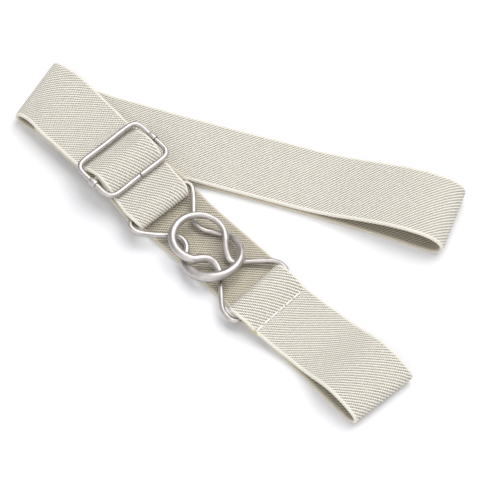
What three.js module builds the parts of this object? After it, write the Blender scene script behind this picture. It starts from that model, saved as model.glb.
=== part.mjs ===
// Elastic webbing belt, fastened and laid down flat: one long loop of webbing pressed to a double
// strap, folded back on itself once, with an interlocked two-part wire buckle and a wire slider.
// Millimetres. +X runs along the front strap, +Y towards the long back strap, +Z is up.

import {
  Box3,
  BufferGeometry,
  CatmullRomCurve3,
  Float32BufferAttribute,
  Group,
  Mesh,
  MeshStandardMaterial,
  Vector3,
} from "three";

// Webbing
const WEBBING_THICKNESS = 1.5;
const SELVAGE_CHAMFER = 0.35;

// Wire sizes, as radii
const SLIDER_WIRE = 1.0;
const SLIDER_BAR_WIRE = 1.2;
const ARM_WIRE = 1.1;
const WIRE_SIDES = 10;
const CLEARANCE = 0.4;
const CURL_WIRE = 0.6;
const CURL_CLEARANCE = 0.42;

// Spacing of the cross-sections: wide on straight runs, close where the path bends by a sharp turn
const WEBBING_STEPS = { wide: 3.4, close: 0.9 };
const BUCKLE_STEPS = { wide: 3.0, close: 1.2 };
const FRAME_STEPS = { wide: 6.0, close: 1.0 };
const BAR_STEPS = { wide: 5.0, close: 0.9 };
const SHARP_TURN = 0.16;
const FINE_STEPS_PER_ROW = 24;
const RING_SPANS = 12;

// Heights of the webbing's middle plane in the pile where the straps cross
const FLOOR_LAYER = WEBBING_THICKNESS / 2;
const SECOND_LAYER = 2.6;
const THIRD_LAYER = 4.45;
const FOURTH_LAYER = 6.3;

// Slider frame, seen from above
const SLIDER = { x: -54.4, y: -12.95, halfLength: 10.0, halfWidth: 16.1, corner: 3.6, z: 11.55 };
const SLIDER_TURN = (1.5 * Math.PI) / 180;
const SLIDER_LIFT = 1.0;
const CROSSBAR_Z = 8.9;

// Buckle rings, seen from above
const LEFT_RING = { x: 0.5, y: -15.1, radius: 11.3 };
const RIGHT_RING = { x: -8.2, y: -14.4, radius: 10.35 };

// Radius of each ring's wire at even steps along it
const LEFT_RING_WIRE = [1.2, 1.5, 1.8, 2.1, 2.0];
const RIGHT_RING_WIRE = [1.75, 1.8, 1.6, 1.25, 1.35];

const CREAM = { name: "webbing", color: 0xdbd7cb, roughness: 0.95, metalness: 0.0 };
const NICKEL = { name: "satin_nickel", color: 0xbbb5b0, roughness: 0.35, metalness: 1.0 };

// The webbing's path from its sewn end inside the right loop to its sewn end on the crossbar.
// Each row is a cross-section: middle point, width, how much the +Y edge is higher than the -Y
// edge (rise), and the direction of the width seen from above, in degrees from +X (lie).
const RIGHT_FLAP = [
  { x: 38.0, y: -12.9, z: 2.62, width: 27.4, rise: 0, lie: 92.5 },
  { x: 33.0, y: -13.4, z: 2.6, width: 26.8, rise: 0, lie: 93 },
  { x: 28.0, y: -13.6, z: 2.55, width: 26.6, rise: 0, lie: 93.5 },
  { x: 24.4, y: -13.6, z: 2.7, width: 26.6, rise: 0, lie: 93.8 },
  { x: 22.9, y: -13.6, z: 3.35, width: 26.6, rise: 0, lie: 93.8 },
  { x: 22.35, y: -13.6, z: 4.4, width: 26.6, rise: 0, lie: 93.8 },
  { x: 22.7, y: -13.7, z: 5.6, width: 27.2, rise: 0, lie: 93.8 },
  { x: 24.2, y: -13.9, z: 6.9, width: 28.8, rise: 0, lie: 93.8 },
  { x: 27.6, y: -13.8, z: 7.35, width: 29.2, rise: 0, lie: 93.8 },
  { x: 31.8, y: -13.3, z: 6.7, width: 28.9, rise: 0, lie: 93.2 },
  { x: 36.5, y: -12.9, z: 4.75, width: 28.5, rise: 0, lie: 92.7 },
];

const RIGHT_STRAP_TOP = [
  { x: 41.0, y: -12.4, z: 4.25, width: 28.7, rise: 0, lie: 92 },
  { x: 46.5, y: -11.6, z: 3.1, width: 28.9, rise: 0, lie: 92 },
  { x: 53.0, y: -10.9, z: 2.8, width: 29.2, rise: 0, lie: 91.5 },
  { x: 60.0, y: -10.6, z: 3.3, width: 29.4, rise: 0, lie: 91 },
  { x: 66.0, y: -10.7, z: 5.1, width: 29.6, rise: 0, lie: 91 },
  { x: 71.3, y: -10.9, z: 7.3, width: 29.8, rise: 0, lie: 90.5 },
  { x: 77.1, y: -11.0, z: 8.4, width: 29.9, rise: 0, lie: 89.5 },
  { x: 83.5, y: -11.1, z: 8.0, width: 30.0, rise: 0, lie: 88.7 },
];

const RIGHT_FOLD = [
  { x: 88.0, y: -11.2, z: 6.9, width: 30.0, rise: 0, lie: 88.2 },
  { x: 90.3, y: -11.2, z: 5.6, width: 30.0, rise: 0, lie: 88.2 },
  { x: 91.1, y: -11.2, z: 3.9, width: 30.0, rise: 0, lie: 88.2 },
  { x: 90.3, y: -11.3, z: 2.1, width: 30.0, rise: 0, lie: 88.2 },
  { x: 88.1, y: -11.4, z: 1.05, width: 30.0, rise: 0, lie: 88.5 },
];

const FRONT_STRAP_BOTTOM = [
  { x: 84.4, y: -11.4, z: FLOOR_LAYER, width: 29.8, rise: 0, lie: 89 },
  { x: 65.0, y: -11.2, z: FLOOR_LAYER, width: 29.0, rise: 0, lie: 90 },
  { x: 40.0, y: -11.0, z: FLOOR_LAYER, width: 28.4, rise: 0, lie: 90 },
  { x: 12.0, y: -10.9, z: FLOOR_LAYER, width: 28.2, rise: 0, lie: 90 },
  { x: -10.0, y: -11.1, z: FLOOR_LAYER, width: 28.2, rise: 0, lie: 90 },
  { x: -16.0, y: -11.2, z: 0.85, width: 28.2, rise: 0.15, lie: 90 },
  { x: -22.0, y: -11.3, z: 1.2, width: 28.2, rise: 0.7, lie: 90 },
  { x: -28.0, y: -11.4, z: 2.1, width: 28.2, rise: 1.5, lie: 90 },
  { x: -35.0, y: -11.5, z: 3.45, width: 28.2, rise: 1.9, lie: 90 },
  { x: -39.5, y: -11.6, z: 4.0, width: 28.2, rise: 1.0, lie: 90 },
  { x: -46.0, y: -11.7, z: 4.35, width: 28.2, rise: 0.2, lie: 90 },
  { x: -55.0, y: -11.8, z: THIRD_LAYER, width: 28.2, rise: 0, lie: 90 },
  { x: -75.0, y: -11.9, z: THIRD_LAYER, width: 28.6, rise: 0, lie: 90 },
  { x: -88.0, y: -11.8, z: THIRD_LAYER, width: 29.0, rise: 0, lie: 93 },
];

const INNER_FOLD = [
  { x: -94.6, y: -11.2, z: THIRD_LAYER, width: 29.6, rise: 0, lie: 98 },
  { x: -96.4, y: -11.1, z: 4.18, width: 29.6, rise: 0, lie: 99 },
  { x: -97.1, y: -11.0, z: 3.53, width: 29.6, rise: 0, lie: 99 },
  { x: -96.4, y: -10.6, z: 2.87, width: 29.6, rise: 0, lie: 99 },
  { x: -94.6, y: -10.0, z: SECOND_LAYER, width: 29.6, rise: 0, lie: 100 },
];

const BACK_STRAP_TOP = [
  { x: -81.0, y: -4.7, z: SECOND_LAYER, width: 30.0, rise: 0, lie: 114 },
  { x: -69.3, y: 1.5, z: SECOND_LAYER, width: 30.0, rise: 0, lie: 117 },
  { x: -57.3, y: 7.7, z: SECOND_LAYER, width: 30.0, rise: 0, lie: 118 },
  { x: -34.3, y: 20.3, z: SECOND_LAYER, width: 30.0, rise: 0, lie: 118.5 },
  { x: -12.0, y: 32.8, z: 2.6, width: 30.0, rise: 0, lie: 118.5 },
  { x: 0.0, y: 39.3, z: 2.85, width: 30.0, rise: 0, lie: 118 },
  { x: 11.0, y: 45.2, z: 4.2, width: 30.0, rise: 0, lie: 117.5 },
  { x: 22.5, y: 51.2, z: 6.9, width: 30.0, rise: 0, lie: 117 },
  { x: 33.0, y: 56.3, z: 9.3, width: 30.0, rise: 0, lie: 116 },
  { x: 41.5, y: 60.3, z: 10.3, width: 30.0, rise: 0, lie: 116 },
  { x: 47.6, y: 63.2, z: 9.9, width: 30.0, rise: 0, lie: 116 },
];

const BACK_FOLD = [
  { x: 51.2, y: 64.9, z: 8.3, width: 30.0, rise: 0, lie: 116 },
  { x: 52.8, y: 65.7, z: 5.6, width: 30.0, rise: 0, lie: 116 },
  { x: 52.2, y: 65.4, z: 2.9, width: 30.0, rise: 0, lie: 116 },
  { x: 49.6, y: 64.1, z: 1.15, width: 30.0, rise: 0, lie: 116 },
];

const BACK_STRAP_BOTTOM = [
  { x: 45.5, y: 62.2, z: FLOOR_LAYER, width: 30.0, rise: 0, lie: 116 },
  { x: 33.0, y: 56.3, z: FLOOR_LAYER, width: 30.0, rise: 0, lie: 116.5 },
  { x: 11.0, y: 45.0, z: FLOOR_LAYER, width: 30.0, rise: 0, lie: 117.5 },
  { x: -12.0, y: 32.6, z: FLOOR_LAYER, width: 30.0, rise: 0, lie: 118.5 },
  { x: -34.3, y: 20.1, z: FLOOR_LAYER, width: 30.0, rise: 0, lie: 118.5 },
  { x: -57.3, y: 7.5, z: FLOOR_LAYER, width: 30.0, rise: 0, lie: 118 },
  { x: -69.3, y: 1.3, z: FLOOR_LAYER, width: 30.0, rise: 0, lie: 117 },
  { x: -81.0, y: -4.9, z: FLOOR_LAYER, width: 30.0, rise: 0, lie: 115 },
  { x: -92.0, y: -8.9, z: FLOOR_LAYER, width: 30.0, rise: 0, lie: 111 },
  { x: -101.0, y: -10.8, z: FLOOR_LAYER, width: 30.4, rise: 0, lie: 108.5 },
];

const OUTER_FOLD = [
  { x: -107.4, y: -11.7, z: 0.85, width: 31.0, rise: 0, lie: 108.5 },
  { x: -109.3, y: -12.1, z: 1.7, width: 31.2, rise: 0, lie: 109 },
  { x: -110.0, y: -12.2, z: 3.2, width: 31.2, rise: 0, lie: 109 },
  { x: -109.3, y: -12.2, z: 4.7, width: 31.2, rise: 0, lie: 108.5 },
  { x: -107.2, y: -12.0, z: 6.0, width: 31.0, rise: 0, lie: 107 },
];

const LEFT_STRAP_TOP = [
  { x: -102.3, y: -11.5, z: 7.1, width: 30.8, rise: 0, lie: 102.5 },
  { x: -97.2, y: -11.5, z: 7.8, width: 30.6, rise: 0, lie: 96 },
  { x: -90.0, y: -11.9, z: 8.0, width: 30.6, rise: 0, lie: 91 },
  { x: -80.0, y: -12.2, z: 8.2, width: 30.0, rise: 0, lie: 89 },
  { x: -69.0, y: -12.6, z: 8.5, width: 29.4, rise: 0, lie: 90 },
  { x: -64.2, y: -12.7, z: 9.2, width: 28.7, rise: 0, lie: 91.5 },
  { x: -60.0, y: -12.7, z: 11.1, width: 28.0, rise: 0, lie: 91.5 },
  { x: -54.5, y: -12.7, z: 13.05, width: 28.0, rise: 0, lie: 91.5 },
  { x: -49.5, y: -12.7, z: 11.4, width: 27.8, rise: 0, lie: 91.5 },
  { x: -44.6, y: -13.3, z: 8.12, width: 27.1, rise: 0, lie: 91.5 },
  { x: -40.5, y: -13.9, z: 8.45, width: 27.8, rise: 0, lie: 91 },
];

const LEFT_LOOP = [
  { x: -36.0, y: -15.0, z: 9.4, width: 27.8, rise: 0, lie: 90 },
  { x: -31.8, y: -15.4, z: 9.95, width: 27.6, rise: 0, lie: 90 },
  { x: -29.2, y: -15.4, z: 9.15, width: 27.0, rise: 0, lie: 90 },
  { x: -27.7, y: -15.5, z: 8.05, width: 25.7, rise: 0, lie: 90 },
  { x: -27.2, y: -15.5, z: 7.0, width: 25.0, rise: 0, lie: 90 },
  { x: -27.8, y: -15.5, z: 5.95, width: 25.5, rise: 0, lie: 90 },
  { x: -29.4, y: -15.4, z: 5.25, width: 26.6, rise: 0, lie: 90 },
  { x: -31.8, y: -15.4, z: 5.38, width: 27.2, rise: 0, lie: 90 },
  { x: -36.5, y: -15.0, z: 6.35, width: 27.4, rise: 0, lie: 90 },
  { x: -41.0, y: -14.4, z: FOURTH_LAYER, width: 27.4, rise: 0, lie: 91 },
  { x: -49.0, y: -13.5, z: FOURTH_LAYER, width: 27.4, rise: 0, lie: 91.5 },
  { x: -52.5, y: -13.1, z: 6.7, width: 27.2, rise: 0, lie: 91.5 },
];

// The sewn end turned round the crossbar, as angles round the bar from straight below it
const CROSSBAR_WRAP = { y: -13.0, width: 27.0, rise: 0, lie: 91.5, angles: [0, 45, 90, 135, 180] };

const TAIL = [
  { x: -52.3, y: -13.1, z: 10.6, width: 27.0, rise: 0, lie: 91.5 },
  { x: -50.3, y: -13.3, z: 9.5, width: 26.8, rise: 0, lie: 91.5 },
  { x: -48.9, y: -13.4, z: 8.8, width: 26.6, rise: 0, lie: 91.5 },
];

// Angles along the slider's wire: one corner of the frame, and the crossbar's end curl round it
const CORNER_ANGLES = [0, 30, 60, 90];
const CURL_ANGLES = [-75, -35, 5, 45, 85, 100];
const CROSSBAR_PLACES = [-13.0, -4.5, 4.5, 13.0];

function crossbarWrap() {
  const { angles, ...section } = CROSSBAR_WRAP;
  const reach = SLIDER_WIRE + CLEARANCE + WEBBING_THICKNESS / 2;
  return angles.map((degrees) => {
    const angle = (degrees * Math.PI) / 180;
    const x = SLIDER.x - reach * Math.sin(angle);
    const z = CROSSBAR_Z - reach * Math.cos(angle);
    return { ...section, x, z };
  });
}

// Smooth curve through the rows, sampled closely where it bends and widely where it runs straight
function sampleRows(rows, closed, { wide, close }, fields) {
  const points = rows.map((row) => new Vector3(row.x, row.y, row.z));
  const curve = new CatmullRomCurve3(points, closed, "centripetal");
  const spans = closed ? rows.length : rows.length - 1;
  const fine = FINE_STEPS_PER_ROW;
  const samples = [];
  let since = Infinity;
  let bend = 0;
  let last = null;
  for (let index = 0; index <= spans * fine; index += 1) {
    if (closed && index === spans * fine) {
      break;
    }
    const u = index / (spans * fine);
    const place = curve.getPoint(u);
    const tangent = curve.getTangent(u);
    if (last) {
      since += place.distanceTo(last.place);
      bend += tangent.angleTo(last.tangent);
    }
    last = { place, tangent };
    const end = !closed && index === spans * fine;
    if (index === 0 || end || since >= wide || (bend >= SHARP_TURN && since >= close)) {
      const row = Math.min(Math.floor(index / fine), spans - 1);
      const share = smooth(index / fine - row);
      const next = (row + 1) % rows.length;
      const sample = { place, tangent };
      for (const field of fields) {
        sample[field] = rows[row][field] * (1 - share) + rows[next][field] * share;
      }
      if (end && since < close / 2) {
        samples.pop();
      }
      samples.push(sample);
      since = 0;
      bend = 0;
    }
  }
  return samples;
}

function smooth(share) {
  return share * share * (3 - 2 * share);
}

// One closed skin round a row of rings of points; ends are closed by a fan unless the row is a loop
function skin(rings, closed) {
  const sides = rings[0].length;
  const positions = rings.flat().flatMap((point) => [point.x, point.y, point.z]);
  const faces = [];
  const spans = closed ? rings.length : rings.length - 1;
  for (let ring = 0; ring < spans; ring += 1) {
    const here = ring * sides;
    const there = ((ring + 1) % rings.length) * sides;
    for (let side = 0; side < sides; side += 1) {
      const next = (side + 1) % sides;
      faces.push(here + side, here + next, there + next);
      faces.push(here + side, there + next, there + side);
    }
  }
  if (!closed) {
    const end = (rings.length - 1) * sides;
    for (let side = 1; side < sides - 1; side += 1) {
      faces.push(0, side + 1, side);
      faces.push(end, end + side, end + side + 1);
    }
  }
  const geometry = new BufferGeometry();
  geometry.setAttribute("position", new Float32BufferAttribute(positions, 3));
  geometry.setIndex(faces);
  geometry.computeVertexNormals();
  return geometry;
}

// Flat woven band with chamfered selvages, its width lying along each row's direction
function ribbon(rows) {
  const samples = sampleRows(rows, false, WEBBING_STEPS, ["width", "rise", "lie"]);
  const rings = samples.map((sample) => {
    const lie = (sample.lie * Math.PI) / 180;
    const lean = Math.asin(sample.rise / sample.width);
    const level = Math.cos(lean);
    const side = new Vector3(level * Math.cos(lie), level * Math.sin(lie), Math.sin(lean));
    const up = new Vector3().crossVectors(sample.tangent, side).normalize();
    const half = sample.width / 2;
    const thick = WEBBING_THICKNESS / 2;
    const inset = half - SELVAGE_CHAMFER;
    const thin = thick - SELVAGE_CHAMFER;
    const corners = [
      [inset, -thick],
      [half, -thin],
      [half, thin],
      [inset, thick],
      [-inset, thick],
      [-half, thin],
      [-half, -thin],
      [-inset, -thick],
    ];
    return corners.map(([along, over]) =>
      sample.place.clone().addScaledVector(side, along).addScaledVector(up, over),
    );
  });
  return skin(rings, false);
}

// Round wire of changing thickness along a curve; the reference direction never lies along the wire
function wire(rows, closed, reference, steps) {
  const samples = sampleRows(rows, closed, steps, ["r"]);
  const rings = samples.map((sample) => {
    const along = reference.dot(sample.tangent);
    const first = reference.clone().addScaledVector(sample.tangent, -along).normalize();
    const second = new Vector3().crossVectors(sample.tangent, first);
    return Array.from({ length: WIRE_SIDES }, (unused, side) => {
      const angle = (2 * Math.PI * side) / WIRE_SIDES;
      return sample.place
        .clone()
        .addScaledVector(first, sample.r * Math.cos(angle))
        .addScaledVector(second, sample.r * Math.sin(angle));
    });
  });
  return skin(rings, closed);
}

// Part of a buckle ring between two angles in degrees, arched up from its ends to its middle
function ringRows(ring, from, to, heights, radii) {
  return Array.from({ length: RING_SPANS + 1 }, (unused, index) => {
    const share = index / RING_SPANS;
    const angle = ((from + (to - from) * share) * Math.PI) / 180;
    const middle = Math.sin(share * Math.PI);
    const ends = heights.start * (1 - share) + heights.end * share;
    const step = Math.min(Math.floor(share * (radii.length - 1)), radii.length - 2);
    const part = share * (radii.length - 1) - step;
    return {
      x: ring.x + ring.radius * Math.cos(angle),
      y: ring.y + ring.radius * Math.sin(angle),
      z: ends + (heights.middle - ends) * middle,
      r: radii[step] * (1 - part) + radii[step + 1] * part,
    };
  });
}

// Left half of the buckle: its ring is the right one of the two, over the other half's strands
function leftHalfRows() {
  return [
    { x: -31.8, y: -15.2, z: 7.6, r: ARM_WIRE },
    { x: -31.8, y: -8.0, z: 7.6, r: ARM_WIRE },
    { x: -31.8, y: -2.4, z: 7.6, r: ARM_WIRE },
    { x: -31.0, y: -0.6, z: 7.6, r: ARM_WIRE },
    { x: -29.4, y: 0.1, z: 7.55, r: ARM_WIRE },
    { x: -27.6, y: -0.3, z: 7.3, r: ARM_WIRE },
    { x: -24.1, y: -2.8, z: 6.1, r: ARM_WIRE },
    { x: -20.4, y: -6.1, z: 4.7, r: ARM_WIRE },
    { x: -18.3, y: -8.0, z: 4.1, r: ARM_WIRE },
    { x: -16.2, y: -9.1, z: 3.9, r: ARM_WIRE },
    { x: -13.6, y: -9.3, z: 3.75, r: ARM_WIRE },
    { x: -11.0, y: -8.5, z: 3.5, r: ARM_WIRE },
    { x: -8.6, y: -6.8, z: 3.2, r: 1.15 },
    { x: -6.6, y: -5.5, z: 3.1, r: 1.2 },
    { x: -4.4, y: -4.3, z: 3.4, r: 1.15 },
    { x: -2.2, y: -3.7, z: 4.0, r: 1.15 },
    ...ringRows(LEFT_RING, 90, -94, { start: 5.2, middle: 7.6, end: 5.2 }, LEFT_RING_WIRE),
    { x: -3.0, y: -26.0, z: 4.1, r: 1.65 },
    { x: -5.2, y: -25.1, z: 3.5, r: 1.4 },
    { x: -7.4, y: -22.9, z: 3.15, r: 1.2 },
    { x: -8.9, y: -20.4, z: 3.2, r: 1.15 },
    { x: -11.0, y: -18.6, z: 3.5, r: ARM_WIRE },
    { x: -13.3, y: -18.0, z: 3.75, r: ARM_WIRE },
    { x: -15.8, y: -18.4, z: 3.9, r: ARM_WIRE },
    { x: -17.9, y: -19.9, z: 4.1, r: ARM_WIRE },
    { x: -19.7, y: -22.5, z: 4.7, r: ARM_WIRE },
    { x: -23.1, y: -26.9, z: 6.1, r: ARM_WIRE },
    { x: -26.2, y: -30.0, z: 7.2, r: ARM_WIRE },
    { x: -28.3, y: -30.8, z: 7.5, r: ARM_WIRE },
    { x: -30.7, y: -30.3, z: 7.6, r: ARM_WIRE },
    { x: -31.8, y: -28.5, z: 7.6, r: ARM_WIRE },
    { x: -31.8, y: -22.4, z: 7.6, r: ARM_WIRE },
  ];
}

// Right half of the buckle: its ring is the left one of the two, over the other half's arms
function rightHalfRows() {
  return [
    { x: 27.6, y: -13.5, z: 4.75, r: ARM_WIRE },
    { x: 28.2, y: -20.5, z: 4.75, r: ARM_WIRE },
    { x: 29.0, y: -26.4, z: 4.75, r: ARM_WIRE },
    { x: 28.8, y: -28.6, z: 4.7, r: ARM_WIRE },
    { x: 27.2, y: -29.7, z: 4.65, r: ARM_WIRE },
    { x: 24.3, y: -29.8, z: 4.6, r: ARM_WIRE },
    { x: 21.2, y: -28.9, z: 4.4, r: ARM_WIRE },
    { x: 17.1, y: -25.8, z: 4.0, r: ARM_WIRE },
    { x: 11.8, y: -21.2, z: 3.6, r: ARM_WIRE },
    { x: 9.4, y: -18.7, z: 3.4, r: 1.25 },
    { x: 6.6, y: -17.4, z: 3.7, r: 1.45 },
    { x: 3.6, y: -16.8, z: 4.8, r: 1.6 },
    { x: 1.2, y: -17.7, z: 6.0, r: 1.65 },
    { x: -0.7, y: -20.2, z: 6.9, r: 1.7 },
    ...ringRows(RIGHT_RING, -54, -313, { start: 7.3, middle: 8.2, end: 7.3 }, RIGHT_RING_WIRE),
    { x: 1.0, y: -8.7, z: 6.2, r: 1.4 },
    { x: 3.6, y: -10.3, z: 4.8, r: 1.45 },
    { x: 6.3, y: -11.1, z: 3.7, r: 1.4 },
    { x: 8.6, y: -10.2, z: 3.4, r: 1.2 },
    { x: 10.1, y: -7.9, z: 3.5, r: ARM_WIRE },
    { x: 14.7, y: -2.7, z: 3.9, r: ARM_WIRE },
    { x: 18.5, y: 0.9, z: 4.4, r: ARM_WIRE },
    { x: 21.1, y: 1.8, z: 4.6, r: ARM_WIRE },
    { x: 24.2, y: 1.7, z: 4.7, r: ARM_WIRE },
    { x: 26.3, y: 0.3, z: 4.75, r: ARM_WIRE },
    { x: 27.0, y: -2.4, z: 4.75, r: ARM_WIRE },
    { x: 27.2, y: -6.9, z: 4.75, r: ARM_WIRE },
  ];
}

// A point of the slider given from its middle, turned with it as seen from above
function onSlider(alongX, alongY, z) {
  return {
    x: SLIDER.x + alongX * Math.cos(SLIDER_TURN) - alongY * Math.sin(SLIDER_TURN),
    y: SLIDER.y + alongX * Math.sin(SLIDER_TURN) + alongY * Math.cos(SLIDER_TURN),
    z,
    r: SLIDER_WIRE,
  };
}

// Rounded rectangle of wire, with rows at the ends and the middle of each corner's bend
function sliderFrameRows() {
  const { halfLength, halfWidth, corner } = SLIDER;
  const rows = [];
  const quarters = [
    [1, 1],
    [-1, 1],
    [-1, -1],
    [1, -1],
  ];
  quarters.forEach(([alongX, alongY], quarter) => {
    for (const degrees of CORNER_ANGLES) {
      const angle = ((quarter * 90 + degrees) * Math.PI) / 180;
      rows.push({
        x: alongX * (halfLength - corner) + corner * Math.cos(angle),
        y: alongY * (halfWidth - corner) + corner * Math.sin(angle),
      });
    }
    const last = rows[rows.length - 1];
    rows.push(quarter % 2 === 0 ? { x: 0, y: last.y } : { x: last.x, y: 0 });
  });
  return rows.map((row) => ({
    ...onSlider(row.x, row.y, SLIDER.z - (SLIDER_LIFT * row.x) / halfLength),
    r: SLIDER_WIRE + (SLIDER_BAR_WIRE - SLIDER_WIRE) * (row.x / halfLength) ** 2,
  }));
}

// Straight bar under the frame, each end thinner and curled outwards and up round the frame's short
// side
function crossbarRows() {
  const reach = SLIDER_WIRE + CURL_CLEARANCE + CURL_WIRE;
  const curl = (side) =>
    CURL_ANGLES.map((degrees) => {
      const angle = (degrees * Math.PI) / 180;
      const alongY = side * (SLIDER.halfWidth + reach * Math.cos(angle));
      return { ...onSlider(0, alongY, SLIDER.z + reach * Math.sin(angle)), r: CURL_WIRE };
    });
  const straight = CROSSBAR_PLACES.map((alongY) => onSlider(0, alongY, CROSSBAR_Z));
  return [...curl(-1).reverse(), ...straight, ...curl(1)];
}

function webbingRows() {
  return [
    ...RIGHT_FLAP,
    ...RIGHT_STRAP_TOP,
    ...RIGHT_FOLD,
    ...FRONT_STRAP_BOTTOM,
    ...INNER_FOLD,
    ...BACK_STRAP_TOP,
    ...BACK_FOLD,
    ...BACK_STRAP_BOTTOM,
    ...OUTER_FOLD,
    ...LEFT_STRAP_TOP,
    ...LEFT_LOOP,
    ...crossbarWrap(),
    ...TAIL,
  ];
}

function named(name, geometry, look) {
  const material = new MeshStandardMaterial({
    color: look.color,
    roughness: look.roughness,
    metalness: look.metalness,
  });
  material.name = look.name;
  const mesh = new Mesh(geometry, material);
  mesh.name = name;
  return mesh;
}

function belt() {
  const upwards = new Vector3(0, 0, 1);
  const lengthways = new Vector3(1, 0, 0);
  const pieces = [
    named("webbing", ribbon(webbingRows()), CREAM),
    named("buckle_left_half", wire(leftHalfRows(), true, upwards, BUCKLE_STEPS), NICKEL),
    named("buckle_right_half", wire(rightHalfRows(), true, upwards, BUCKLE_STEPS), NICKEL),
    named("slider_frame", wire(sliderFrameRows(), true, upwards, FRAME_STEPS), NICKEL),
    named("slider_bar", wire(crossbarRows(), false, lengthways, BAR_STEPS), NICKEL),
  ];
  const whole = new Box3();
  for (const piece of pieces) {
    piece.geometry.computeBoundingBox();
    whole.union(piece.geometry.boundingBox);
  }
  const middle = whole.getCenter(new Vector3());
  const group = new Group();
  group.name = "stretch_belt";
  for (const piece of pieces) {
    piece.geometry.translate(-middle.x, -middle.y, -whole.min.z);
    group.add(piece);
  }
  return group;
}

export default belt();
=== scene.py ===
"""Stretch belt lying folded on a pale surface: twill webbing, satin wire buckle and slider, sewn seam.

The tables are in millimetres, in the front strap's own frame: +X along it, +Y across it, +Z up.
"""

import math

import bpy
import numpy as np
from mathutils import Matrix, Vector


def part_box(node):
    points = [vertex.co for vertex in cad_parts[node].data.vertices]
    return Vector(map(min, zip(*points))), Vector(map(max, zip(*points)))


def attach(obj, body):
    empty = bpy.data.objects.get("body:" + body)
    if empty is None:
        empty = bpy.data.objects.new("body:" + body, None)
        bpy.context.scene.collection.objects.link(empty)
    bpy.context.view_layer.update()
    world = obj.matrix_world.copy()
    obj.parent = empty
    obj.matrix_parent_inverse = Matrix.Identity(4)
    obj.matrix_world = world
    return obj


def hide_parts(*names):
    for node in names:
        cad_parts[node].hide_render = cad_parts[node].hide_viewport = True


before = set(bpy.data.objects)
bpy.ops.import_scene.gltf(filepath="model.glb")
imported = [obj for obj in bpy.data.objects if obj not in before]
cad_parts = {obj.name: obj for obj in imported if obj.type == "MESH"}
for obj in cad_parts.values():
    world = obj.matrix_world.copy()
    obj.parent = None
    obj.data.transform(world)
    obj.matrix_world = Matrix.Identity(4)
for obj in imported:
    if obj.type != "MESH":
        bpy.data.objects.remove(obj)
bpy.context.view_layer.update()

MM = 0.001

# Webbing: its section, and how far its ribs are drawn open as a factor of the relaxed length
WEBBING_WIDTH = 30.0
WEBBING_THICKNESS = 1.5
SELVAGE_ROUND = 0.6
RELAXED = 1.0
STRETCHED = 1.4

# Fineness of the webbing's mesh: points across each face and round each selvage, and the stations
FLAT_POINTS = 25
ROUND_POINTS = 5
STATION_STEP = 1.0
SEAM_STATION_STEP = 0.35

# Radii of the wires. The slider's long bars are a little thicker than its short sides
ARM_WIRE = 1.1
SLIDER_WIRE = 1.0
SLIDER_BAR_WIRE = 1.2

# Fineness of the wires' mesh, and the chamfer of their ends as a share of the radius
WIRE_SIDES = 24
WIRE_STEP = 0.6
END_CHAMFER = 0.22

# Heights of the webbing's middle plane in the pile where the straps cross
FLOOR_LAYER = WEBBING_THICKNESS / 2
SECOND_LAYER = 2.6
THIRD_LAYER = 4.45
FOURTH_LAYER = 6.3

# Slider frame: its middle, half sizes and corner radius, how far it is turned as seen from above,
# and how much higher its left bar is than its middle
SLIDER = {"x": -54.4, "y": -12.95, "half_length": 10.0, "half_width": 16.1, "corner": 3.6, "z": 11.55}
SLIDER_TURN = math.radians(1.5)
SLIDER_LIFT = 1.0
JOINT_SLIT = 0.3
CORNER_ANGLES = (0, 30, 60, 90)

# Slider crossbar: its height, the points of its straight part across the slider, and its curls
CROSSBAR_Z = 8.9
CROSSBAR_PLACES = (-13.0, -4.5, 4.5, 13.0)
CROSSBAR_STEP = 0.4
CURL_ANGLES = (-75, -35, 5, 45, 85, 125, 165)
CURL_CLEARANCE = 0.08
CURL_HALF_WIDTH = 1.7
CURL_HALF_THICKNESS = 0.26

# Buckle rings: middle and radius, the angles that the wire runs between, its height at the start,
# the middle and the end, and its radius at even steps along it
LEFT_RING = {
    "x": 0.5,
    "y": -15.1,
    "radius": 11.3,
    "angles": (90, -94),
    "heights": (5.2, 7.6, 5.2),
    "wire": (1.2, 1.5, 1.8, 2.1, 2.0),
}
RIGHT_RING = {
    "x": -8.2,
    "y": -14.4,
    "radius": 10.35,
    "angles": (-54, -313),
    "heights": (7.3, 8.2, 7.3),
    "wire": (1.75, 1.8, 1.6, 1.25, 1.35),
}
RING_SPANS = 12

# Camera, aimed at the strap frame's origin. Distance in metres
CAMERA_AZIMUTH = math.radians(47.0)
CAMERA_ELEVATION = math.radians(56.0)
CAMERA_DISTANCE = 0.9
CAMERA_NEAREST = 0.01
CAMERA_LENS = 170.6
SENSOR = 36.0

# Stage, in metres and watts. The world's light rises towards WORLD_BRIGHT_WAY
FLOOR_SIZE = 6.0
KEY_LIGHT = {"location": (-0.05, 0.6, 1.3), "size": 1.4, "power": 18.3}
FILL_LIGHT = {"location": (0.3, -0.9, 0.7), "size": 1.0, "power": 2.8}
WORLD_COLOUR = (0.95, 0.955, 1.0, 1)
WORLD_BRIGHT_WAY = (0.44, -0.41, 1.0)
WORLD_RISE = {"From Min": -0.3, "From Max": 0.75, "To Min": 0.08, "To Max": 0.62}

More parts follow.
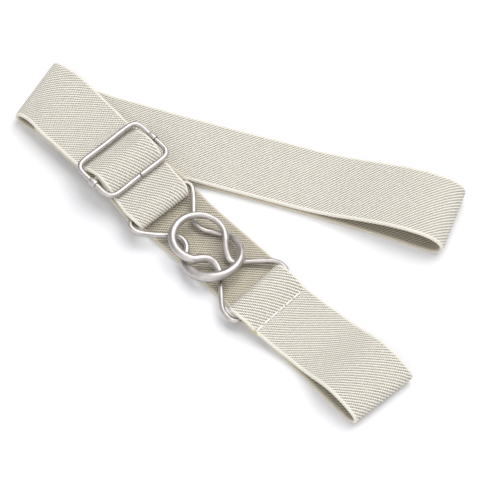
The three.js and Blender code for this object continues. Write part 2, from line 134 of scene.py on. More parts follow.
# The webbing's path. Columns: x, y, z of the section's middle, width, rise of its +Y edge, and the
# direction of its width in degrees from +X
RIGHT_FLAP = [
    (38.0, -12.9, 2.62, 27.4, 0, 92.5),
    (33.0, -13.4, 2.6, 26.8, 0, 93),
    (28.0, -13.6, 2.55, 26.6, 0, 93.5),
    (24.4, -13.6, 2.7, 26.6, 0, 93.8),
    (22.9, -13.6, 3.35, 26.6, 0, 93.8),
    (22.35, -13.6, 4.4, 26.6, 0, 93.8),
    (22.7, -13.7, 5.6, 27.2, 0, 93.8),
    (24.2, -13.9, 6.9, 28.8, 0, 93.8),
    (27.6, -13.8, 7.35, 29.2, 0, 93.8),
    (31.8, -13.3, 6.7, 28.9, 0, 93.2),
    (36.5, -12.9, 4.75, 28.5, 0, 92.7),
]
RIGHT_STRAP_TOP = [
    (41.0, -12.4, 4.25, 28.7, 0, 92),
    (46.5, -11.6, 3.1, 28.9, 0, 92),
    (53.0, -10.9, 2.8, 29.2, 0, 91.5),
    (60.0, -10.6, 3.3, 29.4, 0, 91),
    (66.0, -10.7, 5.1, 29.6, 0, 91),
    (71.3, -10.9, 7.3, 29.8, 0, 90.5),
    (77.1, -11.0, 8.4, 29.9, 0, 89.5),
    (83.5, -11.1, 8.0, 30.0, 0, 88.7),
]
RIGHT_FOLD = [
    (88.0, -11.2, 6.9, 30.0, 0, 88.2),
    (90.3, -11.2, 5.6, 30.0, 0, 88.2),
    (91.1, -11.2, 3.9, 30.0, 0, 88.2),
    (90.3, -11.3, 2.1, 30.0, 0, 88.2),
    (88.1, -11.4, 1.05, 30.0, 0, 88.5),
]
FRONT_STRAP_BOTTOM = [
    (84.4, -11.4, FLOOR_LAYER, 29.8, 0, 89),
    (65.0, -11.2, FLOOR_LAYER, 29.0, 0, 90),
    (40.0, -11.0, FLOOR_LAYER, 28.4, 0, 90),
    (12.0, -10.9, FLOOR_LAYER, 28.2, 0, 90),
    (-10.0, -11.1, FLOOR_LAYER, 28.2, 0, 90),
    (-16.0, -11.2, 0.85, 28.2, 0.15, 90),
    (-22.0, -11.3, 1.2, 28.2, 0.7, 90),
    (-28.0, -11.4, 2.1, 28.2, 1.5, 90),
    (-35.0, -11.5, 3.45, 28.2, 1.9, 90),
    (-39.5, -11.6, 4.0, 28.2, 1.0, 90),
    (-46.0, -11.7, 4.35, 28.2, 0.2, 90),
    (-55.0, -11.8, THIRD_LAYER, 28.2, 0, 90),
    (-75.0, -11.9, THIRD_LAYER, 28.6, 0, 90),
    (-88.0, -11.8, THIRD_LAYER, 29.0, 0, 93),
]
INNER_FOLD = [
    (-94.6, -11.2, THIRD_LAYER, 29.6, 0, 98),
    (-96.4, -11.1, 4.18, 29.6, 0, 99),
    (-97.1, -11.0, 3.53, 29.6, 0, 99),
    (-96.4, -10.6, 2.87, 29.6, 0, 99),
    (-94.6, -10.0, SECOND_LAYER, 29.6, 0, 100),
]
BACK_STRAP_TOP = [
    (-81.0, -4.7, SECOND_LAYER, 30.0, 0, 114),
    (-69.3, 1.5, SECOND_LAYER, 30.0, 0, 117),
    (-57.3, 7.7, SECOND_LAYER, 30.0, 0, 118),
    (-34.3, 20.3, SECOND_LAYER, 30.0, 0, 118.5),
    (-12.0, 32.8, SECOND_LAYER, 30.0, 0, 118.5),
    (0.0, 39.3, 2.85, 30.0, 0, 118),
    (11.0, 45.2, 4.2, 30.0, 0, 117.5),
    (22.5, 51.2, 6.9, 30.0, 0, 117),
    (33.0, 56.3, 9.3, 30.0, 0, 116),
    (41.5, 60.3, 10.3, 30.0, 0, 116),
    (47.6, 63.2, 9.9, 30.0, 0, 116),
]
BACK_FOLD = [
    (51.2, 64.9, 8.3, 30.0, 0, 116),
    (52.8, 65.7, 5.6, 30.0, 0, 116),
    (52.2, 65.4, 2.9, 30.0, 0, 116),
    (49.6, 64.1, 1.15, 30.0, 0, 116),
]
BACK_STRAP_BOTTOM = [
    (45.5, 62.2, FLOOR_LAYER, 30.0, 0, 116),
    (33.0, 56.3, FLOOR_LAYER, 30.0, 0, 116.5),
    (11.0, 45.0, FLOOR_LAYER, 30.0, 0, 117.5),
    (-12.0, 32.6, FLOOR_LAYER, 30.0, 0, 118.5),
    (-34.3, 20.1, FLOOR_LAYER, 30.0, 0, 118.5),
    (-57.3, 7.5, FLOOR_LAYER, 30.0, 0, 118),
    (-69.3, 1.3, FLOOR_LAYER, 30.0, 0, 117),
    (-81.0, -4.9, FLOOR_LAYER, 30.0, 0, 115),
    (-92.0, -8.9, FLOOR_LAYER, 30.0, 0, 111),
    (-101.0, -10.8, FLOOR_LAYER, 30.4, 0, 108.5),
]
OUTER_FOLD = [
    (-107.4, -11.7, 0.85, 31.0, 0, 108.5),
    (-109.3, -12.1, 1.7, 31.2, 0, 109),
    (-110.0, -12.2, 3.2, 31.2, 0, 109),
    (-109.3, -12.2, 4.7, 31.2, 0, 108.5),
    (-107.2, -12.0, 6.0, 31.0, 0, 107),
]
LEFT_STRAP_TOP = [
    (-102.3, -11.5, 7.1, 30.8, 0, 102.5),
    (-97.2, -11.5, 7.8, 30.6, 0, 96),
    (-90.0, -11.9, 8.0, 30.6, 0, 91),
    (-80.0, -12.2, 8.2, 30.0, 0, 89),
    (-69.0, -12.6, 8.5, 29.4, 0, 90),
    (-64.2, -12.7, 9.2, 28.7, 0, 91.5),
]
SLIDER_HUMP = [
    (-60.0, -12.7, 11.1, 28.0, 0, 91.5),
    (-54.5, -12.7, 13.05, 28.0, 0, 91.5),
    (-49.5, -12.7, 11.4, 27.8, 0, 91.5),
    (-44.6, -13.3, 8.12, 27.1, 0, 91.5),
    (-40.5, -13.9, 8.45, 27.8, 0, 91),
]
LEFT_LOOP = [
    (-36.0, -15.0, 9.4, 27.8, 0, 90),
    (-31.8, -15.4, 9.95, 27.6, 0, 90),
    (-29.2, -15.4, 9.15, 27.0, 0, 90),
    (-27.7, -15.5, 8.05, 25.7, 0, 90),
    (-27.2, -15.5, 7.0, 25.0, 0, 90),
    (-27.8, -15.5, 5.95, 25.5, 0, 90),
    (-29.4, -15.4, 5.25, 26.6, 0, 90),
    (-31.8, -15.4, 5.38, 27.2, 0, 90),
    (-36.5, -15.0, 6.35, 27.4, 0, 90),
    (-41.0, -14.4, FOURTH_LAYER, 27.4, 0, 91),
    (-49.0, -13.5, FOURTH_LAYER, 27.4, 0, 91.5),
    (-52.5, -13.1, 6.7, 27.2, 0, 91.5),
]
TAIL = [
    (-52.3, -13.1, 10.6, 27.0, 0, 91.5),
    (-50.3, -13.3, 9.5, 26.8, 0, 91.5),
    (-48.9, -13.4, 8.8, 26.6, 0, 91.5),
]

# The left end's turn round the crossbar, between LEFT_LOOP and TAIL
WRAP_ANGLES = (0, 45, 90, 135, 180)
WRAP_CLEARANCE = 0.4
WRAP_Y = -13.0
WRAP_WIDTH = 27.0
WRAP_LIE = 91.5

# Buckle wire. Columns: x, y, z, radius
LEFT_ARM_IN = [
    (-31.8, -15.2, 7.6, ARM_WIRE),
    (-31.8, -8.0, 7.6, ARM_WIRE),
    (-31.8, -2.4, 7.6, ARM_WIRE),
    (-31.0, -0.6, 7.6, ARM_WIRE),
    (-29.4, 0.1, 7.55, ARM_WIRE),
    (-27.6, -0.3, 7.3, ARM_WIRE),
    (-24.1, -2.8, 6.1, ARM_WIRE),
    (-20.4, -6.1, 4.7, ARM_WIRE),
    (-18.3, -8.0, 4.1, ARM_WIRE),
    (-16.2, -9.1, 3.9, ARM_WIRE),
    (-13.6, -9.3, 3.75, ARM_WIRE),
    (-11.0, -8.5, 3.5, ARM_WIRE),
    (-8.6, -6.8, 3.2, 1.15),
    (-6.6, -5.5, 3.1, 1.2),
    (-4.4, -4.3, 3.4, 1.15),
    (-2.2, -3.7, 4.0, 1.15),
]
LEFT_ARM_OUT = [
    (-3.0, -26.0, 4.1, 1.65),
    (-5.2, -25.1, 3.5, 1.4),
    (-7.4, -22.9, 3.15, 1.2),
    (-8.9, -20.4, 3.2, 1.15),
    (-11.0, -18.6, 3.5, ARM_WIRE),
    (-13.3, -18.0, 3.75, ARM_WIRE),
    (-15.8, -18.4, 3.9, ARM_WIRE),
    (-17.9, -19.9, 4.1, ARM_WIRE),
    (-19.7, -22.5, 4.7, ARM_WIRE),
    (-23.1, -26.9, 6.1, ARM_WIRE),
    (-26.2, -30.0, 7.2, ARM_WIRE),
    (-28.3, -30.8, 7.5, ARM_WIRE),
    (-30.7, -30.3, 7.6, ARM_WIRE),
    (-31.8, -28.5, 7.6, ARM_WIRE),
    (-31.8, -22.4, 7.6, ARM_WIRE),
    (-31.8, -15.6, 7.6, ARM_WIRE),
]
RIGHT_ARM_IN = [
    (27.6, -13.5, 4.75, ARM_WIRE),
    (28.2, -20.5, 4.75, ARM_WIRE),
    (29.0, -26.4, 4.75, ARM_WIRE),
    (28.8, -28.6, 4.7, ARM_WIRE),
    (27.2, -29.7, 4.65, ARM_WIRE),
    (24.3, -29.8, 4.6, ARM_WIRE),
    (21.2, -28.9, 4.4, ARM_WIRE),
    (17.1, -25.8, 4.0, ARM_WIRE),
    (11.8, -21.2, 3.6, ARM_WIRE),
    (9.4, -18.7, 3.4, 1.25),
    (6.6, -17.4, 3.7, 1.45),
    (3.6, -16.8, 4.8, 1.6),
    (1.2, -17.7, 6.0, 1.65),
    (-0.7, -20.2, 6.9, 1.7),
]
RIGHT_ARM_OUT = [
    (1.0, -8.7, 6.2, 1.4),
    (3.6, -10.3, 4.8, 1.45),
    (6.3, -11.1, 3.7, 1.4),
    (8.6, -10.2, 3.4, 1.2),
    (10.1, -7.9, 3.5, ARM_WIRE),
    (14.7, -2.7, 3.9, ARM_WIRE),
    (18.5, 0.9, 4.4, ARM_WIRE),
    (21.1, 1.8, 4.6, ARM_WIRE),
    (24.2, 1.7, 4.7, ARM_WIRE),
    (26.3, 0.3, 4.75, ARM_WIRE),
    (27.0, -2.4, 4.75, ARM_WIRE),
    (27.2, -6.9, 4.75, ARM_WIRE),
    (27.6, -13.1, 4.75, ARM_WIRE),
]

# Ends of the seam's stitches from the lower selvage to the upper one: x, y
SEAM = [
    (37.7, -26.5),
    (37.3, -22.3),
    (37.05, -18.4),
    (36.75, -14.0),
    (36.7, -10.3),
    (36.5, -6.2),
    (36.25, -1.9),
]
THREAD = 0.36
SEAM_DENT = {"depth": 0.4, "reach": 1.2}

# A stitch: the share of its length left free at each end, its height above the dented cloth, and
# the heights of its thread above that, by the share of its length
STITCH_GAP = 0.09
STITCH_LIFT = THREAD * 0.6
STITCH_ARCH = ((0, -0.35), (0.1, 0.0), (0.3, 0.22), (0.7, 0.22), (0.9, 0.0), (1, -0.35))

# Radii of the needle's holes, one between each two stitches, and the heights of a hole's plug of painted
# shade
NEEDLE_HOLES = (0.3, 0.26, 0.3, 0.52, 0.3)
HOLE_HEIGHTS = (-0.3, 0.0, 0.04)

# The knot's tangled loops: x, y, size, and the angle in radians where each starts. Then the thread's
# radius, the loops' depth in the cloth, their points, the angle between two points, and the
# reference for their sections
KNOT_LOOPS = ((36.9, -26.9, 0.62, 0.4), (38.1, -27.2, 0.42, 2.0))
KNOT_THREAD = 0.17
KNOT_SINK = 0.45
KNOT_POINTS = 15
KNOT_STEP = 0.75
KNOT_REFERENCE = (0.3, 0.2, 0.93)

# Yarn and ribs of the weave
YARN = 0.509
YARNS_PER_RIB = 3
SELVAGE_BAND = 1.3
SELVAGE_BLEND = 0.5

# Colours
OUTER_YARN = (0.915, 0.875, 0.773, 1)
# The inner face's darker, browner colours are partly its own tone and partly painted shade for where it
# lies under the buckle and inside the folds
INNER_YARN_AND_SHADE = (0.73, 0.665, 0.53, 1)
# Painted shade: the colours of the weave's grooves stand in for the shade in these recesses
OUTER_GROOVE_SHADE = (0.10, 0.086, 0.06, 1)
INNER_GROOVE_SHADE = (0.06, 0.05, 0.03, 1)
CLOTH_PATCHES = (0.70, 0.65, 0.52, 1)
NICKEL_DARK = (0.57, 0.535, 0.51, 1)
NICKEL_LIGHT = (0.66, 0.628, 0.60, 1)
# Painted shade for the wires' flanks and undersides
NICKEL_PAINTED_SHADE = (0.2, 0.185, 0.175, 1)
WHITE_THREAD = ((0.95, 0.94, 0.92, 1), (0.85, 0.84, 0.81, 1))
WAXED_THREAD = ((0.66, 0.62, 0.36, 1), (0.50, 0.46, 0.24, 1))
HOLE_SHADE = ((0.10, 0.085, 0.06, 1), (0.06, 0.05, 0.035, 1))
FLOOR_TONES = ((0.9, 0.9, 0.905, 1), (0.92, 0.92, 0.925, 1))

# The flap's last row, the rows on both sides of the seam, and where between rows the seam is
FLAP_END = len(RIGHT_FLAP) - 1
SEAM_ROWS = (FLAP_END - 1, FLAP_END + 2)
SEAM_START = FLAP_END + 0.12


def smooth(share):
    """Eases a share from 0 to 1 at both ends."""
    return share * share * (3 - 2 * share)


def unit(vectors):
    """The same vectors with length 1."""
    return vectors / np.linalg.norm(vectors, axis=-1, keepdims=True)


def spline(rows, step, closer=None):
    """Stations on the centripetal Catmull-Rom curve through the rows' first three columns.

    Every column is eased between rows. Returns places, tangents, all columns and the position of
    each station in rows. closer is (first row, last row, step) where stations are closer together.
    """
    rows = np.array(rows, float)
    points = np.vstack([2 * rows[0, :3] - rows[1, :3], rows[:, :3], 2 * rows[-1, :3] - rows[-2, :3]])
    places, tangents, columns, positions = [], [], [], []
    last = len(rows) - 2
    for span in range(last + 1):
        p0, p1, p2, p3 = points[span : span + 4]
        a, b, c = [np.linalg.norm(end - start) ** 0.5 for start, end in ((p0, p1), (p1, p2), (p2, p3))]
        t1 = b * ((p1 - p0) / a - (p2 - p0) / (a + b) + (p2 - p1) / b)
        t2 = b * ((p2 - p1) / b - (p3 - p1) / (b + c) + (p3 - p2) / c)
        spacing = closer[2] if closer and closer[0] <= span < closer[1] else step
        count = max(3, math.ceil(np.linalg.norm(p2 - p1) / spacing))
        share = np.arange(count + (span == last)) / count
        s = share[:, None]
        second = -3 * p1 + 3 * p2 - 2 * t1 - t2
        third = 2 * p1 - 2 * p2 + t1 + t2
        places.append(p1 + t1 * s + second * s**2 + third * s**3)
        tangents.append(t1 + 2 * second * s + 3 * third * s**2)
        eased = smooth(s)
        columns.append(rows[span] * (1 - eased) + rows[span + 1] * eased)
        positions.append(span + share)
    tangents = unit(np.concatenate(tangents))
    return np.concatenate(places), tangents, np.concatenate(columns), np.concatenate(positions)


def row_origin():
    """Where the strap frame's origin is in the row frame, in millimetres."""
    low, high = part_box("slider_frame")
    return np.array((low + high) / 2) / MM - np.array([SLIDER["x"], SLIDER["y"], SLIDER["z"]])


ORIGIN = row_origin()


def make_object(name, places, faces, material):
    """A smooth mesh object from places in the strap frame."""
    mesh = bpy.data.meshes.new(name)
    mesh.from_pydata(((places + ORIGIN) * MM).tolist(), [], faces)
    mesh.validate()
    mesh.shade_smooth()
    mesh.materials.append(material)
    made = bpy.data.objects.new(name, mesh)
    bpy.context.collection.objects.link(made)
    return made


def ring_faces(rings, sides):
    """Quads between neighbouring rings, and the two end faces."""
    faces = []
    for ring in range(rings - 1):
        for side in range(sides):
            after = (side + 1) % sides
            here, there = ring * sides, (ring + 1) * sides
            faces.append((here + side, here + after, there + after, there + side))
    faces.append(tuple(range(sides - 1, -1, -1)))
    faces.append(tuple(range((rings - 1) * sides, rings * sides)))
    return faces


def wire(name, rows, reference, material, sides=WIRE_SIDES, step=WIRE_STEP, flat=None):
    """A wire along the rows of place and radius, its ends chamfered.

    reference is the way in which the section's first half-width lies. Where the wire isn't round,
    flat turns the stations' positions in rows into their two half-widths.
    """
    places, tangents, columns, positions = spline(rows, step)
    reference = np.array(reference, float)
    first = unit(reference - tangents * (tangents @ reference)[:, None])
    second = np.cross(tangents, first)
    radii = np.stack([columns[:, 3], columns[:, 3]], 1) if flat is None else flat(positions)
    for way in (1, -1):
        at, where = (0, 0) if way == 1 else (len(places) - 1, len(places))
        tip = places[at].copy()
        places[at] = tip + way * END_CHAMFER * radii[at].min() * tangents[at]
        places = np.insert(places, where, tip, 0)
        first = np.insert(first, where, first[at], 0)
        second = np.insert(second, where, second[at], 0)
        tangents = np.insert(tangents, where, tangents[at], 0)
        radii = np.insert(radii, where, radii[at] * (1 - END_CHAMFER), 0)
    angles = 2 * np.pi * np.arange(sides) / sides
    one_way = first[:, None] * (radii[:, :1, None] * np.cos(angles)[None, :, None])
    other_way = second[:, None] * (radii[:, 1:, None] * np.sin(angles)[None, :, None])
    skin = places[:, None] + (one_way + other_way)
    return make_object(name, skin.reshape(-1, 3), ring_faces(len(places), sides), material)


def crossbar_wrap():
    """Sections of the sewn end turned round the crossbar."""
    reach = SLIDER_WIRE + WRAP_CLEARANCE + WEBBING_THICKNESS / 2
    rows = []
    for degrees in WRAP_ANGLES:
        angle = math.radians(degrees)
        x = SLIDER["x"] - reach * math.sin(angle)
        z = CROSSBAR_Z - reach * math.cos(angle)
        rows.append((x, WRAP_Y, z, WRAP_WIDTH, 0, WRAP_LIE))
    return rows


def webbing_rows():
    """All sections of the path in order, with the stretch of the elastic as a last column."""
    path = [
        (RIGHT_FLAP, STRETCHED),
        (RIGHT_STRAP_TOP, RELAXED),
        (RIGHT_FOLD, RELAXED),
        (FRONT_STRAP_BOTTOM, RELAXED),
        (INNER_FOLD, RELAXED),
        (BACK_STRAP_TOP, RELAXED),
        (BACK_FOLD, RELAXED),
        (BACK_STRAP_BOTTOM, RELAXED),
        (OUTER_FOLD, RELAXED),
        (LEFT_STRAP_TOP, RELAXED),
        (SLIDER_HUMP, STRETCHED),
        (LEFT_LOOP, STRETCHED),
        (crossbar_wrap(), STRETCHED),
        (TAIL, STRETCHED),
    ]
    return [row + (stretch,) for rows, stretch in path for row in rows]


class Webbing:
    """Stations along the webbing with the directions of its width and of its upper face."""

    def __init__(self):
        closer = (FLAP_END - 1, FLAP_END + 1, SEAM_STATION_STEP)
        places, tangents, columns, positions = spline(webbing_rows(), STATION_STEP, closer)
        lie = np.radians(columns[:, 5])
        lean = np.arcsin(columns[:, 4] / columns[:, 3])
        level = np.cos(lean)
        self.places = places
        self.positions = positions
        self.side = np.stack([level * np.cos(lie), level * np.sin(lie), np.sin(lean)], 1)
        self.up = unit(np.cross(tangents, self.side))
        self.half = columns[:, 3] / 2
        self.stretch = columns[:, 6]
        self.stretch[(positions > SEAM_START) & (positions < FLAP_END + 1)] = RELAXED
        self.stretch[positions <= SEAM_START] = STRETCHED

        # How much relaxed webbing there is up to each station
        steps = np.linalg.norm(np.diff(places, axis=0), axis=1)
        relaxed = steps / ((self.stretch[1:] + self.stretch[:-1]) / 2)
        self.along = np.concatenate([[0], np.cumsum(relaxed)])

    def surface_at_seam(self, x, y, lift):
        """The point of the upper face above x, y near the seam, lifted, and the way up there."""
        near = (self.positions >= SEAM_ROWS[0]) & (self.positions <= SEAM_ROWS[1])
        at = np.flatnonzero(near)[np.argmin(np.abs(self.places[near, 0] - x))]
        across = (y - self.places[at, 1]) / self.side[at, 1]
        middle = self.places[at] + self.side[at] * across
        middle[0] = x
        return middle + self.up[at] * (WEBBING_THICKNESS / 2 + lift), self.up[at]


def seam_dent(places):
    """How far the upper face is drawn down by the seam's thread at these places of the right strap."""
    ends = np.array(SEAM)
    seam_x = np.interp(places[..., 1], ends[:, 1], ends[:, 0])
    return SEAM_DENT["depth"] * np.exp(-(((places[..., 0] - seam_x) / SEAM_DENT["reach"]) ** 2))


def band_section():
    """The band's section, once round it from the upper face's -Y edge.

    Returns the place across the flat part as a share from -1 to 1, and how far each point is out
    round a selvage and up from the middle plane, as shares too.
    """
    turn = np.pi * np.arange(1, ROUND_POINTS + 1) / (ROUND_POINTS + 1)
    flat = np.linspace(-1, 1, FLAT_POINTS)
    fraction = np.concatenate([flat, np.ones(ROUND_POINTS), flat[::-1], -np.ones(ROUND_POINTS)])
    beyond = np.concatenate([np.zeros(FLAT_POINTS), np.sin(turn), np.zeros(FLAT_POINTS), -np.sin(turn)])
    height = np.concatenate([np.ones(FLAT_POINTS), np.cos(turn), -np.ones(FLAT_POINTS), -np.cos(turn)])
    return fraction, beyond, height


def build_webbing(webbing, material):
    """The band's skin: flat faces with rounded selvages, drawn down at the seam."""
    fraction, beyond, height = band_section()
    across = fraction * (webbing.half - SELVAGE_ROUND)[:, None] + beyond * SELVAGE_ROUND
    skin = webbing.places[:, None] + webbing.side[:, None] * across[..., None]
    over = np.broadcast_to(height * WEBBING_THICKNESS / 2, across.shape).copy()
    sewn = (webbing.positions > SEAM_ROWS[0]) & (webbing.positions < SEAM_ROWS[1])
    over[sewn] -= seam_dent(skin[sewn]) * (height > 0.5)
    skin = skin + webbing.up[:, None] * over[..., None]
    made = make_object("belt_webbing", skin.reshape(-1, 3), ring_faces(*across.shape), material)
    add_weave(made.data, webbing)
    return made


def add_weave(mesh, webbing):
    """Weave coordinates in millimetres of relaxed webbing, the inner face's mark, and the tension."""
    fraction, beyond, _ = band_section()
    sides = len(fraction)
    flat_half = WEBBING_WIDTH / 2 - SELVAGE_ROUND
    weave = fraction * flat_half + beyond * (np.pi * SELVAGE_ROUND / 2)
    corner = np.empty(len(mesh.loops), int)
    mesh.loops.foreach_get("vertex_index", corner)
    corners_of_face = np.empty(len(mesh.polygons), int)
    mesh.polygons.foreach_get("loop_total", corners_of_face)
    side_of_face = np.repeat(np.arange(len(corners_of_face)) % sides, corners_of_face)
    half_turn = FLAT_POINTS + ROUND_POINTS // 2
    under = (side_of_face >= half_turn) & (side_of_face < half_turn + FLAT_POINTS + ROUND_POINTS)
    across = weave[corner % sides] * np.where(under, -1, 1)
    along = webbing.along[corner // sides]
    layer = mesh.uv_layers.new(name="weave")
    layer.data.foreach_set("uv", np.stack([across, along], 1).ravel())
    inner_face = mesh.attributes.new("inner", "FLOAT", "CORNER")
    inner_face.data.foreach_set("value", under.astype(float))
    tension = mesh.attributes.new("tension", "FLOAT", "POINT")
    share = (webbing.stretch - RELAXED) / (STRETCHED - RELAXED)
    tension.data.foreach_set("value", np.repeat(share, sides))


def ring_rows(ring):
    """A buckle ring's wire, arched up from its ends to its middle."""
    start, end = ring["angles"]
    first, middle, last = ring["heights"]
    places = np.linspace(0, 1, len(ring["wire"]))
    rows = []
    for index in range(RING_SPANS + 1):
        share = index / RING_SPANS
        angle = math.radians(start + (end - start) * share)
        ends = first * (1 - share) + last * share
        z = ends + (middle - ends) * math.sin(share * math.pi)
        x = ring["x"] + ring["radius"] * math.cos(angle)
        y = ring["y"] + ring["radius"] * math.sin(angle)
        rows.append((x, y, z, float(np.interp(share, places, ring["wire"]))))
    return rows


def on_slider(along_x, along_y, z, radius=SLIDER_WIRE):
    """A point of the slider given from its middle, turned with it as seen from above."""
    cos, sin = math.cos(SLIDER_TURN), math.sin(SLIDER_TURN)
    x = SLIDER["x"] + along_x * cos - along_y * sin
    y = SLIDER["y"] + along_x * sin + along_y * cos
    return (x, y, z, radius)


def slider_frame_rows():
    """Rounded rectangle of wire that starts and ends at the slit in its right bar, the bars thicker."""
    half_length, half_width, corner = SLIDER["half_length"], SLIDER["half_width"], SLIDER["corner"]
    flat = [(half_length, JOINT_SLIT / 2)]
    for quarter, (way_x, way_y) in enumerate([(1, 1), (-1, 1), (-1, -1), (1, -1)]):
        for degrees in CORNER_ANGLES:
            angle = math.radians(quarter * 90 + degrees)
            x = way_x * (half_length - corner) + corner * math.cos(angle)
            y = way_y * (half_width - corner) + corner * math.sin(angle)
            flat.append((x, y))
        if quarter < 3:
            flat.append((0, flat[-1][1]) if quarter % 2 == 0 else (flat[-1][0], 0))
    flat.append((half_length, -JOINT_SLIT / 2))
    rows = []
    for x, y in flat:
        radius = SLIDER_WIRE + (SLIDER_BAR_WIRE - SLIDER_WIRE) * (x / half_length) ** 2
        rows.append(on_slider(x, y, SLIDER["z"] - SLIDER_LIFT * x / half_length, radius))
    return rows


def crossbar_rows():
    """Straight bar under the frame with each end curled outwards and up round the frame's short side."""
    reach = SLIDER_WIRE + CURL_CLEARANCE + CURL_HALF_THICKNESS

    def curl(side):
        rows = []
        for degrees in CURL_ANGLES:
            angle = math.radians(degrees)
            y = side * (SLIDER["half_width"] + reach * math.cos(angle))
            rows.append(on_slider(0, y, SLIDER["z"] + reach * math.sin(angle)))
        return rows

    straight = [on_slider(0, y, CROSSBAR_Z) for y in CROSSBAR_PLACES]
    return curl(-1)[::-1] + straight + curl(1)


def crossbar_section(positions):
    """The bar is round, and hammered flat and broad where it curls round the frame."""
    from_end = np.minimum(positions, positions[-1] - positions)
    share = smooth(np.clip((len(CURL_ANGLES) - 1 - from_end) / 2, 0, 1))
    broad = SLIDER_WIRE + (CURL_HALF_WIDTH - SLIDER_WIRE) * share
    thin = SLIDER_WIRE + (CURL_HALF_THICKNESS - SLIDER_WIRE) * share
    return np.stack([broad, thin], 1)


def stitch(name, start, end, up, material):
    """One stitch of thread from hole to hole, arched over the cloth and dipping in at its ends."""
    rows = [(*(start + (end - start) * share + up * height), THREAD) for share, height in STITCH_ARCH]
    return wire(name, rows, up, material, sides=10, step=0.3)


def join(name, objects):
    """The meshes of several objects as one object."""
    places, faces, count = [], [], 0
    for each in objects:
        co = np.empty(len(each.data.vertices) * 3)
        each.data.vertices.foreach_get("co", co)
        places.append(co.reshape(-1, 3) / MM - ORIGIN)
        faces += [tuple(count + v for v in polygon.vertices) for polygon in each.data.polygons]
        count += len(each.data.vertices)
    made = make_object(name, np.concatenate(places), faces, objects[0].data.materials[0])
    for each in objects:
        bpy.data.meshes.remove(each.data)
    return made


def build_seam(webbing, material):
    """The row of stitches that holds the right strap's turned end."""
    stitches = []
    lift = STITCH_LIFT - SEAM_DENT["depth"]
    for index, (first, second) in enumerate(zip(np.array(SEAM), np.array(SEAM[1:]))):
        gap = STITCH_GAP * (second - first)
        start, up = webbing.surface_at_seam(*(first + gap), lift)
        end, _ = webbing.surface_at_seam(*(second - gap), lift)
        stitches.append(stitch(f"stitch_{index}", start, end, up, material))
    return join("seam_stitches", stitches)


def build_needle_holes(webbing, material):
    """Plugs of painted shade in the holes that the needle left between the stitches."""
    holes = []
    for index, (end, radius) in enumerate(zip(SEAM[1:-1], NEEDLE_HOLES)):
        middle, up = webbing.surface_at_seam(*end, -SEAM_DENT["depth"])
        points = [(*(middle + up * height), radius) for height in HOLE_HEIGHTS]
        holes.append(wire(f"hole_{index}", points, (1, 0, 0), material, sides=12))
    return join("needle_holes", holes)


def build_knot(webbing, material):
    """The thread's tied-off end: two small tangled loops at the lower selvage."""
    loops = []
    for index, (x, y, size, turn) in enumerate(KNOT_LOOPS):
        middle, _ = webbing.surface_at_seam(x, y, -KNOT_SINK)
        points = []
        for step in range(KNOT_POINTS):
            angle = turn + step * KNOT_STEP
            # Height and radius waver at uneven rates, which tangles the loop
            wave = 0.45 * math.sin(1.7 * angle)
            radius = size * (1 + 0.35 * math.sin(2.3 * angle))
            offset = np.array([radius * math.cos(angle), radius * 0.7 * math.sin(angle), wave])
            points.append((*(middle + offset), KNOT_THREAD))
        loops.append(wire(f"loop_{index}", points, KNOT_REFERENCE, material, sides=8, step=0.25))
    return join("thread_knot", loops)


class Nodes:
    """A new material, and short ways to add shader nodes to it. Inputs are sockets or constants."""

    def __init__(self, name):
        self.material = bpy.data.materials.new(name)
        self.material.use_nodes = True
        self.tree = self.material.node_tree
        self.shader = self.tree.nodes["Principled BSDF"]

    def put(self, socket, value):
        """Joins a socket to an input, or sets the input to a constant."""
        if isinstance(value, bpy.types.NodeSocket):
            self.tree.links.new(value, socket)
        else:
            socket.default_value = value

    def add(self, kind, inputs=None, **settings):
        """A node with its settings and inputs."""
        node = self.tree.nodes.new(kind)
        for key, value in settings.items():
            setattr(node, key, value)
        for key, value in (inputs or {}).items():
            self.put(node.inputs[key], value)
        return node

    def surface(self, **inputs):
        """Sets inputs of the surface shader. Their names have _ for each space."""
        for name, value in inputs.items():
            self.put(self.shader.inputs[name.replace("_", " ")], value)

    def math(self, operation, a, b=0.0):
        """A sum, product or other operation on one or two numbers."""
        return self.add("ShaderNodeMath", {0: a, 1: b}, operation=operation).outputs[0]

    def product(self, a, b):
        """Two numbers multiplied."""
        return self.math("MULTIPLY", a, b)

    def rest(self, share):
        """What a share leaves of 1."""
        return self.math("SUBTRACT", 1.0, share)

    def span(self, value, low, high, to_low=0.0, to_high=1.0):
        """The value eased from one range to another, and held at its ends."""
        names = {"Value": value, "From Min": low, "From Max": high, "To Min": to_low, "To Max": to_high}
        return self.add("ShaderNodeMapRange", names, interpolation_type="SMOOTHSTEP").outputs[0]

    def mix(self, share, a, b):
        """Colour b over colour a by a share."""
        node = self.add("ShaderNodeMix", data_type="RGBA")
        self.put(node.inputs[0], share)
        self.put(node.inputs[6], a)
        self.put(node.inputs[7], b)
        return node.outputs[2]

    def noise(self, vector, scale, detail):
        """Soft noise from 0 to 1."""
        inputs = {"Vector": vector, "Scale": scale, "Detail": detail}
        return self.add("ShaderNodeTexNoise", inputs).outputs["Fac"]

    def point(self, x, y):
        """A vector from two numbers."""
        return self.add("ShaderNodeCombineXYZ", {0: x, 1: y}).outputs[0]

    def bump(self, height, distance, strength):
        """A normal that is tilted by a height."""
        inputs = {"Height": height, "Distance": distance, "Strength": strength}
        return self.add("ShaderNodeBump", inputs).outputs[0]


